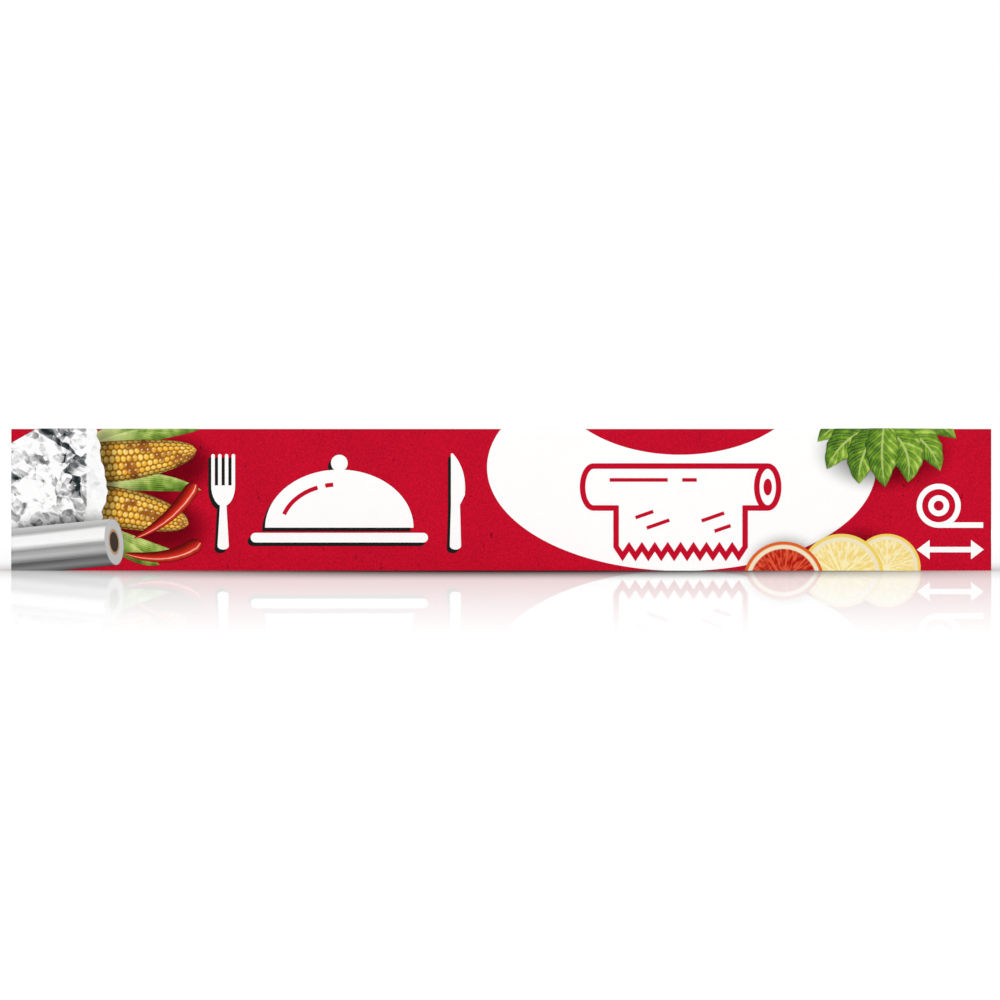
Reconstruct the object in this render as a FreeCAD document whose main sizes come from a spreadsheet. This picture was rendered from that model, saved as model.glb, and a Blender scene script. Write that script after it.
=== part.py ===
"""A sealed household carton of aluminium foil with the cutter strip under its front edge.

The carton is one sheet of board, wrapped once round and closed at both ends with stacked flaps. It is glued
shut and can't be seen into, so the board and the roll inside it are one solid. The sheet wraps in the order
inner front, base, back, top, outer front: the outer front panel lies over the inner one and ends in a free
edge just above the base. Each end is closed by flaps in three layers: the dust flaps of the back and inner
front, then the flap of the top, and outside them the glued flap of the base, with a perforated tab that is
pushed in to hold the roll. The cutter is a toothed steel strip, pressed into the base along its front edge.

Millimetres. X runs along the carton, the front faces -Y, the base is at z = 0, and the origin is at the
middle of the base.
"""

import FreeCAD, Part
import math
import os

import Sketcher

SIZES = [
    ("carton_length", 304.0, "outside length, over the glued end flaps"),
    ("carton_depth", 44.0, "outside depth, front to back"),
    ("carton_height", 44.0, "outside height"),
    ("board_thickness", 0.5, "folding board"),
    ("fold_radius", 0.8, "outside radius of a scored fold"),
    ("front_panel_lift", 0.1, "free lower edge of the outer front panel, above the base"),
    ("front_panel_setback", 0.1, "end of the outer front panel, inside the end face"),
    ("dust_flap_relief", 1.0, "dust flap's edges, inside the base and the top"),
    ("top_flap_relief", 0.6, "side edges of the top's end flap, inside the faces"),
    ("top_flap_drop", 26.0, "how far the top's end flap reaches down"),
    ("base_flap_relief", 1.1, "side edges of the base's end flap, inside the faces"),
    ("base_flap_gap", 1.8, "free edge of the base's end flap, below the top"),
    ("base_flap_corner", 4.0, "corner radius at that free edge"),
    ("tab_radius", 9.5, "perforated tab that locks the roll"),
    ("tab_height", 22.0, "centre of the tab above the base, in line with the core"),
    ("tab_cut_width", 0.35, "width of one perforation cut"),
    ("tab_cuts", 6, "perforation cuts round the half circle"),
    ("tab_cut_angle", 24.0, "angle of one cut, in degrees"),
    ("cutter_width", 11.0, "toothed strip, from its tips to its back edge"),
    ("cutter_thickness", 0.2, "spring steel strip"),
    ("cutter_margin", 4.0, "least distance from the strip's end to the carton's end"),
    ("cutter_clearance", 0.2, "between the strip and the edge of its recess"),
    ("tooth_pitch", 3.0, "from tooth to tooth"),
    ("tooth_depth", 1.7, "from tip to root"),
    ("tooth_tip", 0.25, "width left at a tip"),
    ("tooth_setback", 0.8, "tips, inside the carton's front face"),
    ("prong_length", 2.4, "window of a clinched prong, along the strip"),
    ("prong_width", 1.4, "window of a clinched prong, across the strip"),
    ("prong_inset", 6.5, "middle of the prong windows, behind the tips"),
    ("prong_pitch", 24.0, "from prong to prong"),
]


class Size:
    """A size that knows its value now and the spreadsheet formula that gives it."""

    def __init__(self, value, formula):
        self.value = value
        self.formula = formula

    @staticmethod
    def of(other):
        return other if isinstance(other, Size) else Size(other, str(other))

    def __add__(self, other):
        other = Size.of(other)
        return Size(self.value + other.value, f"({self.formula} + {other.formula})")

    def __sub__(self, other):
        other = Size.of(other)
        return Size(self.value - other.value, f"({self.formula} - {other.formula})")

    def __mul__(self, other):
        other = Size.of(other)
        return Size(self.value * other.value, f"({self.formula} * {other.formula})")

    def __truediv__(self, other):
        other = Size.of(other)
        return Size(self.value / other.value, f"({self.formula} / {other.formula})")

    def __neg__(self):
        return Size(-self.value, f"(0 - {self.formula})")

    def whole(self):
        """The size rounded down, for a number of copies."""
        return Size(math.floor(self.value), f"floor({self.formula})")


def make_sheet(doc):
    """Writes the driving sizes into the spreadsheet, and returns them by name."""
    sheet = doc.addObject("Spreadsheet::Sheet", "Sizes")
    named = {}
    for row, (alias, value, meaning) in enumerate(SIZES, start=1):
        sheet.set(f"A{row}", str(value))
        sheet.setAlias(f"A{row}", alias)
        sheet.set(f"B{row}", f"'{meaning}")
        named[alias] = Size(value, f"Sizes.{alias}")
    doc.recompute()
    return named


def new_body(doc, name):
    body = doc.addObject("PartDesign::Body", name)
    body.Label = name
    return body


def new_sketch(body, name, plane, move=(0, 0, 0)):
    """A sketch on one of the body's origin planes, moved along the sketch's own axes."""
    sketch = body.newObject("Sketcher::SketchObject", name)
    support = next(f for f in body.Origin.OriginFeatures if f.Role == plane)
    sketch.AttachmentSupport = [(support, "")]
    sketch.MapMode = "FlatFace"
    for axis, distance in zip("xyz", move):
        sketch.setExpression(f".AttachmentOffset.Base.{axis}", Size.of(distance).formula)
    return sketch


def set_constraint(sketch, kind, *where, size=None):
    """Adds one constraint. A size binds it to the spreadsheet."""
    if size is None:
        sketch.addConstraint(Sketcher.Constraint(kind, *where))
        return
    index = sketch.addConstraint(Sketcher.Constraint(kind, *where, size.value))
    sketch.setExpression(f"Constraints[{index}]", size.formula)


def outline(sketch, corners):
    """A closed outline of upright and level lines through the corners, counter-clockwise.

    A corner is (x, y) or (x, y, radius). A rounded corner is an arc tangent to both its lines.
    """
    points, radii = [], []
    for corner in corners:
        points.append(FreeCAD.Vector(Size.of(corner[0]).value, Size.of(corner[1]).value, 0))
        radii.append(Size.of(corner[2]) if len(corner) > 2 else None)
    count = len(corners)
    ways = []
    for i in range(count):
        ways.append((points[(i + 1) % count] - points[i]).normalize())

    lines = []
    for i in range(count):
        after = (i + 1) % count
        start = points[i] + ways[i] * (radii[i].value if radii[i] else 0)
        end = points[after] - ways[i] * (radii[after].value if radii[after] else 0)
        line = sketch.addGeometry(Part.LineSegment(start, end), False)
        level = abs(ways[i].x) > abs(ways[i].y)
        set_constraint(sketch, "Horizontal" if level else "Vertical", line)
        lines.append((line, level))

    for i in range(count):
        before, after = lines[i - 1][0], lines[i][0]
        if radii[i] is None:
            set_constraint(sketch, "Coincident", before, 2, after, 1)
            continue
        radius = radii[i].value
        centre = points[i] - ways[i - 1] * radius + ways[i] * radius
        outward = ways[i - 1].cross(ways[i]).z > 0
        ends = (-ways[i], ways[i - 1]) if outward else (ways[i - 1], -ways[i])
        angles = [math.atan2(end.y, end.x) for end in ends]
        circle = Part.Circle(centre, FreeCAD.Vector(0, 0, 1), radius)
        arc = sketch.addGeometry(Part.ArcOfCircle(circle, *angles), False)
        first, last = (1, 2) if outward else (2, 1)
        set_constraint(sketch, "Tangent", before, 2, arc, first)
        set_constraint(sketch, "Tangent", arc, last, after, 1)
        set_constraint(sketch, "Radius", arc, size=radii[i])

    for (line, level), corner in zip(lines, corners):
        place = Size.of(corner[1] if level else corner[0])
        if place.value == 0:
            set_constraint(sketch, "PointOnObject", line, 1, -1 if level else -2)
        else:
            set_constraint(sketch, "DistanceY" if level else "DistanceX", -1, 1, line, 1, size=place)


def pad(body, name, sketch, length, both_ways=False):
    feature = body.newObject("PartDesign::Pad", name)
    feature.Profile = sketch
    feature.SideType = "Symmetric" if both_ways else "One side"
    feature.setExpression("Length", length.formula)
    return feature


def pocket(body, name, sketch, depth=None, upwards=False):
    """Cuts the sketch out, down from its plane or upwards. With no depth it goes right through, both ways."""
    feature = body.newObject("PartDesign::Pocket", name)
    feature.Profile = sketch
    if depth is None:
        feature.Type = "ThroughAll"
        feature.SideType = "Symmetric"
    else:
        feature.Reversed = upwards
        feature.setExpression("Length", depth.formula)
    return feature


def row_of(body, name, original, sketch, spacing, copies):
    """Repeats a cut along the X axis of its sketch."""
    pattern = body.newObject("PartDesign::LinearPattern", name)
    pattern.Originals = [original]
    pattern.Direction = (sketch, ["H_Axis"])
    pattern.Mode = "Spacing"
    pattern.setExpression("Offset", spacing.formula)
    pattern.setExpression("Occurrences", copies.formula)
    body.Tip = pattern
    return pattern


def wrapped_board(body, s):
    """The four folded sides, up to where the folds of the end flaps begin."""
    front = -s["carton_depth"] / 2
    back = s["carton_depth"] / 2
    inner_front = front + s["board_thickness"]
    top = s["carton_height"]
    radius = s["fold_radius"]
    sketch = new_sketch(body, "wrapped_section", "YZ_Plane")
    outline(sketch, [
        (inner_front, 0, radius),
        (back, 0, radius),
        (back, top, radius),
        (front, top, radius),
        (front, s["front_panel_lift"]),
        (inner_front, s["front_panel_lift"]),
    ])
    reach = s["carton_length"] - s["board_thickness"] * 4 - radius * 2
    pad(body, "wrapped_sides", sketch, reach, both_ways=True)


def lid_board(body, s):
    """The board of the top and the outer front panel. The panel and its fold run further out than the top."""
    hinge_line = s["carton_depth"] / 2 - s["fold_radius"]
    top_reach = s["carton_length"] - s["board_thickness"] * 2 - s["fold_radius"] * 2
    folded_over(body, s, "lid", hinge_line, top_reach)

    beside_top_flap = -s["carton_depth"] / 2 + s["board_thickness"] + s["top_flap_relief"]
    panel_reach = s["carton_length"] - s["front_panel_setback"] * 2
    folded_over(body, s, "outer_front_panel", beside_top_flap, panel_reach)


def folded_over(body, s, name, back_edge, reach):
    """The outer front panel's board, folded over the top as far back as the given edge."""
    front = -s["carton_depth"] / 2
    top = s["carton_height"]
    board = s["board_thickness"]
    sketch = new_sketch(body, name + "_section", "YZ_Plane")
    outline(sketch, [
        (front, s["front_panel_lift"]),
        (front + board, s["front_panel_lift"]),
        (front + board, top - board, s["fold_radius"] - board),
        (back_edge, top - board),
        (back_edge, top),
        (front, top, s["fold_radius"]),
    ])
    pad(body, name, sketch, reach, both_ways=True)


def dust_flaps(body, s):
    """The innermost end layer: flaps of the back and inner front, folded in round upright folds."""
    half = s["carton_length"] / 2 - s["board_thickness"] * 2
    front = s["board_thickness"] - s["carton_depth"] / 2
    back = s["carton_depth"] / 2
    radius = s["fold_radius"]
    sketch = new_sketch(body, "dust_flap_section", "XY_Plane", (0, 0, s["dust_flap_relief"]))
    outline(sketch, [
        (-half, front, radius),
        (half, front, radius),
        (half, back, radius),
        (-half, back, radius),
    ])
    pad(body, "dust_flaps", sketch, s["carton_height"] - s["dust_flap_relief"] * 2)


def across_the_carton(body, s, name, relief):
    """A sketch for an end flap's side view, midway between the inner front and the back, and its width."""
    width = s["carton_depth"] - s["board_thickness"] - relief * 2
    return new_sketch(body, name, "XZ_Plane", (0, 0, -s["board_thickness"] / 2)), width


def top_end_flaps(body, s):
    """The middle end layer, folded down from the top."""
    half = s["carton_length"] / 2 - s["board_thickness"]
    top = s["carton_height"]
    sketch, width = across_the_carton(body, s, "top_flap_section", s["top_flap_relief"])
    outline(sketch, [
        (-half, top - s["top_flap_drop"]),
        (half, top - s["top_flap_drop"]),
        (half, top, s["fold_radius"]),
        (-half, top, s["fold_radius"]),
    ])
    pad(body, "top_end_flaps", sketch, width, both_ways=True)


def base_end_flaps(body, s):
    """The outermost end layer, folded up from the base and glued down, with rounded free corners."""
    half = s["carton_length"] / 2
    reach = s["carton_height"] - s["base_flap_gap"]
    sketch, width = across_the_carton(body, s, "base_flap_section", s["base_flap_relief"])
    outline(sketch, [
        (-half, 0, s["fold_radius"]),
        (half, 0, s["fold_radius"]),
        (half, reach),
        (-half, reach),
    ])
    pad(body, "base_end_flaps", sketch, width, both_ways=True)


def trim_base_flap_corners(body, s):
    """Rounds the free corners of the outermost flaps, in their own layer only."""
    radius = s["base_flap_corner"]
    side = s["carton_depth"] / 2 - s["board_thickness"] / 2 - s["base_flap_relief"]
    reach = s["carton_height"] - s["base_flap_gap"]
    middle = (s["board_thickness"] / 2, 0, s["carton_length"] / 2)
    sketch = new_sketch(body, "corner_trim", "YZ_Plane", middle)
    corner_offcut(sketch, side, reach, radius)
    corner_offcut(sketch, -side, reach, radius)
    trim = pocket(body, "corner_trims", sketch, s["board_thickness"])
    both_ends(body, "corner_trims_at_both_ends", trim)


def corner_offcut(sketch, side, top, radius):
    """What is cut away outside a rounded corner: two edges that meet at the corner, and the arc between."""
    sign = 1 if side.value > 0 else -1
    corner = FreeCAD.Vector(side.value, top.value, 0)
    beside = corner - FreeCAD.Vector(sign * radius.value, 0, 0)
    below = corner - FreeCAD.Vector(0, radius.value, 0)
    centre = FreeCAD.Vector(beside.x, below.y, 0)
    level = sketch.addGeometry(Part.LineSegment(beside, corner), False)
    upright = sketch.addGeometry(Part.LineSegment(corner, below), False)
    circle = Part.Circle(centre, FreeCAD.Vector(0, 0, 1), radius.value)
    angles = (0, math.pi / 2) if sign > 0 else (math.pi / 2, math.pi)
    arc = sketch.addGeometry(Part.ArcOfCircle(circle, *angles), False)
    low, high = (1, 2) if sign > 0 else (2, 1)
    set_constraint(sketch, "Horizontal", level)
    set_constraint(sketch, "Vertical", upright)
    set_constraint(sketch, "Coincident", level, 2, upright, 1)
    set_constraint(sketch, "Tangent", level, 1, arc, high)
    set_constraint(sketch, "Tangent", upright, 2, arc, low)
    set_constraint(sketch, "Radius", arc, size=radius)
    set_constraint(sketch, "DistanceX", -1, 1, level, 2, size=side)
    set_constraint(sketch, "DistanceY", -1, 1, level, 2, size=top)


def both_ends(body, name, original):
    """Mirrors a cut at the +X end to the -X end."""
    mirror = body.newObject("PartDesign::Mirrored", name)
    mirror.Originals = [original]
    mirror.MirrorPlane = (next(f for f in body.Origin.OriginFeatures if f.Role == "YZ_Plane"), [""])
    body.Tip = mirror
    return mirror


def roll_lock_tab(body, s):
    """The perforated half circle in each outer flap, in line with the core, cut down to the next layer."""
    centre = (s["board_thickness"] / 2, s["tab_height"], s["carton_length"] / 2)
    sketch = new_sketch(body, "tab_cut", "YZ_Plane", centre)
    curved_slot(sketch, s["tab_radius"], s["tab_cut_width"], s["tab_cut_angle"])
    first = pocket(body, "tab_cuts_first", sketch, s["board_thickness"])

    turns = body.newObject("PartDesign::MultiTransform", "tab_cuts_at_both_ends")
    turns.Originals = [first]
    round_the_tab = body.newObject("PartDesign::PolarPattern", "tab_cuts_round")
    round_the_tab.Axis = (sketch, ["N_Axis"])
    round_the_tab.Mode = "Spacing"
    round_the_tab.setExpression("Offset", (Size.of(180) / s["tab_cuts"]).formula)
    round_the_tab.setExpression("Occurrences", s["tab_cuts"].formula)
    other_end = body.newObject("PartDesign::Mirrored", "tab_cuts_mirrored")
    other_end.MirrorPlane = (next(f for f in body.Origin.OriginFeatures if f.Role == "YZ_Plane"), [""])
    turns.Transformations = [round_the_tab, other_end]
    body.Tip = turns
    return turns


def curved_slot(sketch, radius, width, angle):
    """A square-ended slot along a circle about the sketch's origin, from the X axis up by the angle."""
    origin = FreeCAD.Vector(0, 0, 0)
    upright = FreeCAD.Vector(0, 0, 1)
    inner, outer = radius - width / 2, radius + width / 2
    turn = math.radians(angle.value)
    arcs = []
    for reach in (inner, outer):
        circle = Part.Circle(origin, upright, reach.value)
        arc = sketch.addGeometry(Part.ArcOfCircle(circle, 0, turn), False)
        set_constraint(sketch, "Coincident", arc, 3, -1, 1)
        set_constraint(sketch, "Radius", arc, size=reach)
        arcs.append(arc)
    along = FreeCAD.Vector(1, 0, 0)
    turned = FreeCAD.Vector(math.cos(turn), math.sin(turn), 0)
    near = sketch.addGeometry(Part.LineSegment(along * inner.value, along * outer.value), False)
    far = sketch.addGeometry(Part.LineSegment(turned * inner.value, turned * outer.value), False)
    for line, end in ((near, 1), (far, 2)):
        set_constraint(sketch, "Coincident", line, 1, arcs[0], end)
        set_constraint(sketch, "Coincident", line, 2, arcs[1], end)
    set_constraint(sketch, "Horizontal", near)
    set_constraint(sketch, "PointOnObject", near, 1, -1)
    radians = Size(turn, f"({angle.formula} * 1 deg)")
    set_constraint(sketch, "Angle", -1, 1, far, 1, size=radians)


def cutter_places(s):
    """Where the cutter lies: the line of its tips, its back edge, its number of teeth and half its length."""
    tips = s["tooth_setback"] - s["carton_depth"] / 2
    back_edge = tips + s["cutter_width"]
    teeth = ((s["carton_length"] - s["cutter_margin"] * 2) / s["tooth_pitch"]).whole()
    half = teeth * s["tooth_pitch"] / 2
    return tips, back_edge, teeth, half


def cutter_recess(body, s):
    """The board under the cutter, pressed in by the strip's thickness so that the carton stands flat."""
    tips, back_edge, teeth, half = cutter_places(s)
    room = s["cutter_clearance"]
    sketch = new_sketch(body, "recess_outline", "XY_Plane")
    outline(sketch, [
        (-half - room, tips - room),
        (half + room, tips - room),
        (half + room, back_edge + room),
        (-half - room, back_edge + room),
    ])
    return pocket(body, "cutter_recess", sketch, s["cutter_thickness"], upwards=True)


def foil_carton(doc, s):
    body = new_body(doc, "foil_carton")
    wrapped_board(body, s)
    lid_board(body, s)
    dust_flaps(body, s)
    top_end_flaps(body, s)
    base_end_flaps(body, s)
    doc.recompute()
    trim_base_flap_corners(body, s)
    roll_lock_tab(body, s)
    cutter_recess(body, s)
    return body


def cutter_strip(doc, s):
    body = new_body(doc, "cutter_strip")
    tips, back_edge, teeth, half = cutter_places(s)
    sketch = new_sketch(body, "strip_outline", "XY_Plane")
    outline(sketch, [
        (-half, tips),
        (half, tips),
        (half, back_edge),
        (-half, back_edge),
    ])
    pad(body, "strip", sketch, s["cutter_thickness"])
    doc.recompute()

    notch_sketch = new_sketch(body, "notch_outline", "XY_Plane", (-half, tips, 0))
    notch(notch_sketch, (s["tooth_pitch"] - s["tooth_tip"]) / 2, s["tooth_depth"])
    first_notch = pocket(body, "notch", notch_sketch)
    row_of(body, "notches", first_notch, notch_sketch, s["tooth_pitch"], teeth + 1)

    prongs = ((half * 2 - s["prong_pitch"]) / s["prong_pitch"]).whole() + 1
    first_prong = -(prongs - 1) * s["prong_pitch"] / 2
    window_sketch = new_sketch(body, "prong_outline", "XY_Plane", (first_prong, tips + s["prong_inset"], 0))
    outline(window_sketch, [
        (-s["prong_length"] / 2, -s["prong_width"] / 2),
        (s["prong_length"] / 2, -s["prong_width"] / 2),
        (s["prong_length"] / 2, s["prong_width"] / 2),
        (-s["prong_length"] / 2, s["prong_width"] / 2),
    ])
    first_window = pocket(body, "prong_window", window_sketch)
    row_of(body, "prong_windows", first_window, window_sketch, s["prong_pitch"], prongs)
    return body


def notch(sketch, half_width, depth):
    """A V between two teeth, with its mouth on the line of the tips and its root at the depth."""
    left = FreeCAD.Vector(-half_width.value, 0, 0)
    right = FreeCAD.Vector(half_width.value, 0, 0)
    root = FreeCAD.Vector(0, depth.value, 0)
    mouth = sketch.addGeometry(Part.LineSegment(left, right), False)
    rising = sketch.addGeometry(Part.LineSegment(right, root), False)
    falling = sketch.addGeometry(Part.LineSegment(root, left), False)
    for before, after in ((mouth, rising), (rising, falling), (falling, mouth)):
        set_constraint(sketch, "Coincident", before, 2, after, 1)
    set_constraint(sketch, "Horizontal", mouth)
    set_constraint(sketch, "PointOnObject", mouth, 1, -1)
    set_constraint(sketch, "PointOnObject", rising, 2, -2)
    set_constraint(sketch, "DistanceX", -1, 1, mouth, 2, size=half_width)
    set_constraint(sketch, "DistanceX", mouth, 1, mouth, 2, size=half_width * 2)
    set_constraint(sketch, "DistanceY", -1, 1, rising, 2, size=depth)


def check_document(doc, bodies):
    """Stops if a feature failed, a body isn't one valid solid, or a cut removed nothing."""
    for obj in doc.Objects:
        if "Invalid" in obj.State or "Error" in obj.State:
            raise RuntimeError(f"{obj.Name} failed: {obj.State}")
    for body in bodies:
        shape = body.Shape
        if shape.isNull() or not shape.isValid() or len(shape.Solids) != 1:
            raise RuntimeError(f"{body.Name} isn't one valid solid")
        before = None
        for feature in body.Group:
            if feature.TypeId in ("PartDesign::Pocket", "PartDesign::Mirrored", "PartDesign::MultiTransform",
                                  "PartDesign::LinearPattern") and feature.Shape.Solids:
                if not feature.Shape.Volume < before:
                    raise RuntimeError(f"{feature.Name} cuts nothing")
            if hasattr(feature, "AddSubShape") or hasattr(feature, "Originals"):
                before = feature.Shape.Volume if feature.Shape.Solids else before


def main():
    doc = FreeCAD.newDocument("foil_carton_model")
    sizes = make_sheet(doc)
    bodies = [foil_carton(doc, sizes), cutter_strip(doc, sizes)]
    doc.recompute()
    check_document(doc, bodies)
    os.makedirs("parts", exist_ok=True)
    for body in bodies:
        body.Shape.exportStep(os.path.join("parts", body.Label + ".step"))
        box = body.Shape.BoundBox
        print(body.Label, "volume", round(body.Shape.Volume, 2), "faces", len(body.Shape.Faces),
              "size", [round(v, 3) for v in (box.XLength, box.YLength, box.ZLength)])


main()
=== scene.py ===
"""Finishes for a sealed carton of aluminium foil: printed board, raw board edges and the steel cutter.

The print is drawn flat, in millimetres, on the unrolled sheet: u runs along the carton from its middle, and v
runs up the outer front panel from the base, round the top fold and back over the top. Each printed shape is a
sheet of faces that is wrapped onto the board, at a height of its own.
"""

import math
import random

import bmesh
import bpy
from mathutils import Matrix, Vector


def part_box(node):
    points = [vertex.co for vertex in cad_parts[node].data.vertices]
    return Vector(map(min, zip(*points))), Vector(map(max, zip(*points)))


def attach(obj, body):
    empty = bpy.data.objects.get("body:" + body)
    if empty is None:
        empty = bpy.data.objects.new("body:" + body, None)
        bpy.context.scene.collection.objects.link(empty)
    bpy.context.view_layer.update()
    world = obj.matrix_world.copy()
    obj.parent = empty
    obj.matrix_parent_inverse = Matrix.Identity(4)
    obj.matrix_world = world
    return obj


MM = 0.001

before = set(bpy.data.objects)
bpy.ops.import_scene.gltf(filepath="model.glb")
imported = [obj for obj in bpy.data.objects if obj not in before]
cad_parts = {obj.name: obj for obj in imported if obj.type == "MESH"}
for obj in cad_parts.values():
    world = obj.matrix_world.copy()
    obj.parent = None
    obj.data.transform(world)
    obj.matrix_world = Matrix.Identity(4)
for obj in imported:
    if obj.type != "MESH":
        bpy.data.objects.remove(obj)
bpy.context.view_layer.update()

# The folded board, in millimetres. The outer front panel is lifted off the base, and its ends are set back
# from the carton's. At the top they reach back beside the end flaps.
carton_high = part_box("foil_carton")[1]
HALF_LENGTH = carton_high.x / MM
HALF_DEPTH = carton_high.y / MM
HEIGHT = carton_high.z / MM
BOARD = 0.5
FOLD_RADIUS = 0.8
PANEL_LIFT = 0.1
PANEL_SETBACK = 0.1
PANEL_BACK = 1.1
PANEL_END = HALF_LENGTH - PANEL_SETBACK
TOP_END = HALF_LENGTH - BOARD - FOLD_RADIUS
FOLD_START = HEIGHT - FOLD_RADIUS
TOP_START = FOLD_START + FOLD_RADIUS * math.pi / 2
FOLD_STEPS = 4

# Height of the lowest print above the board, and the steps to the next layer and to the next shape in a layer
INK_LIFT = 0.04
INK_STEP = 0.025
SHAPE_STEP = 0.001

# How near to a cut a point counts as on it, and how near two points are to be one
CUT_SLACK = 1e-6
WELD = SHAPE_STEP / 4

# Inks, as linear colours
RED = (0.54, 0.0026, 0.0215)
WHITE = (0.985, 0.985, 0.98)
BLACK = (0.008, 0.012, 0.01)

# How strongly the coated board mirrors, as the shader's specular level
GLOSS = 0.05

# Height of the middle of the foil sleeve in the left picture, in millimetres
SLEEVE_MIDDLE = 26.0


class Graph:
    """Adds nodes to a node tree. An input takes a plain value or another node's output."""

    def __init__(self, tree):
        self.tree = tree

    def node(self, kind, inputs=None, **settings):
        made = self.tree.nodes.new(kind)
        for name, value in settings.items():
            setattr(made, name, value)
        for key, value in (inputs or {}).items():
            self.feed(made.inputs[key], value)
        return made

    def feed(self, socket, value):
        if isinstance(value, bpy.types.NodeSocket):
            self.tree.links.new(value, socket)
        elif socket.type == "RGBA" and len(value) == 3:
            socket.default_value = (*value, 1)
        else:
            socket.default_value = value

    def math(self, operation, *values):
        return self.node("ShaderNodeMath", dict(enumerate(values)), operation=operation).outputs[0]

    def plus(self, first, second):
        return self.math("ADD", first, second)

    def minus(self, first, second):
        return self.math("SUBTRACT", first, second)

    def times(self, first, second):
        return self.math("MULTIPLY", first, second)

    def times_plus(self, value, factor, extra):
        return self.math("MULTIPLY_ADD", value, factor, extra)

    def vector(self, operation, *values):
        made = self.node("ShaderNodeVectorMath", dict(enumerate(values)), operation=operation)
        return made.outputs["Value" if operation in ("DOT_PRODUCT", "LENGTH") else "Vector"]

    def scaled(self, vector, factor):
        sockets = {"Vector": vector, "Scale": factor}
        return self.node("ShaderNodeVectorMath", sockets, operation="SCALE").outputs["Vector"]

    def mix(self, factor, first, second, blend="MIX"):
        sockets = {0: factor, 6: first, 7: second}
        return self.node("ShaderNodeMix", sockets, data_type="RGBA", blend_type=blend).outputs[2]

    def smooth(self, value, low, high, to_low=0.0, to_high=1.0):
        """Eases a value from one range to another, and holds it beyond the ends. The first range may fall."""
        sockets = {0: value, 1: low, 2: high, 3: to_low, 4: to_high}
        return self.node("ShaderNodeMapRange", sockets, interpolation_type="SMOOTHSTEP").outputs[0]

    def ramp(self, value, *stops):
        """A colour band. Each stop is (position, colour), or (position, grey)."""
        made = self.node("ShaderNodeValToRGB", {0: value})
        elements = made.color_ramp.elements
        while len(elements) < len(stops):
            elements.new(1.0)
        for element, (position, colour) in zip(elements, stops):
            element.position = position
            element.color = (colour,) * 3 + (1,) if isinstance(colour, float) else (*colour, 1)
        return made.outputs[0]

    def split(self, vector):
        return self.node("ShaderNodeSeparateXYZ", {0: vector}).outputs

    def join(self, x, y, z=0.0):
        return self.node("ShaderNodeCombineXYZ", {0: x, 1: y, 2: z}).outputs[0]

    def grey(self, level):
        return self.join(level, level, level)

    def dimmed(self, colour, level):
        """A colour times a grey level."""
        return self.mix(1.0, colour, self.grey(level), "MULTIPLY")

    def noise(self, vector, scale, detail=2.0, roughness=0.5):
        """Cloudy noise. The scale is in clouds to the millimetre, where the vector is in millimetres."""
        sockets = {"Vector": vector, "Scale": scale, "Detail": detail, "Roughness": roughness}
        return self.node("ShaderNodeTexNoise", sockets).outputs

    def cells(self, vector, scale, feature="F1"):
        """Irregular cells. The scale is in cells to the millimetre."""
        return self.node("ShaderNodeTexVoronoi", {"Vector": vector, "Scale": scale}, feature=feature).outputs

    def place_mm(self):
        """A point's place in the carton's own frame, in millimetres."""
        return self.scaled(self.node("ShaderNodeTexCoord").outputs["Object"], 1 / MM)

    def drawn(self, name):
        """A printed shape's own coordinates: "place" in millimetres, "share" in parts of its size."""
        return self.node("ShaderNodeUVMap", uv_map=name).outputs[0]


def new_group(name, inputs, outputs):
    """An empty shader node group. Inputs are (name, kind, value), outputs (name, kind)."""
    tree = bpy.data.node_groups.new(name, "ShaderNodeTree")
    for label, kind, value in inputs:
        tree.interface.new_socket(name=label, in_out="INPUT", socket_type=kind).default_value = value
    for label, kind in outputs:
        tree.interface.new_socket(name=label, in_out="OUTPUT", socket_type=kind)
    graph = Graph(tree)
    return graph, graph.node("NodeGroupInput").outputs, graph.node("NodeGroupOutput").inputs


def use(graph, group, **inputs):
    """Places a node group, with this material's own values."""
    made = graph.node("ShaderNodeGroup", node_tree=group)
    for name, value in inputs.items():
        graph.feed(made.inputs[name], value)
    return made.outputs


def fold_distance(graph, place):
    """How far a point on the outside lies from the nearest upright or top edge, in millimetres."""
    x, y, z = graph.split(place)
    from_end = graph.minus(HALF_LENGTH, graph.math("ABSOLUTE", x))
    from_side = graph.minus(HALF_DEPTH, graph.math("ABSOLUTE", y))
    from_top = graph.minus(HEIGHT, z)
    least = graph.math("MINIMUM", from_end, from_side)
    most = graph.math("MAXIMUM", from_end, from_side)
    return graph.math("MAXIMUM", least, graph.math("MINIMUM", most, from_top))


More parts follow.
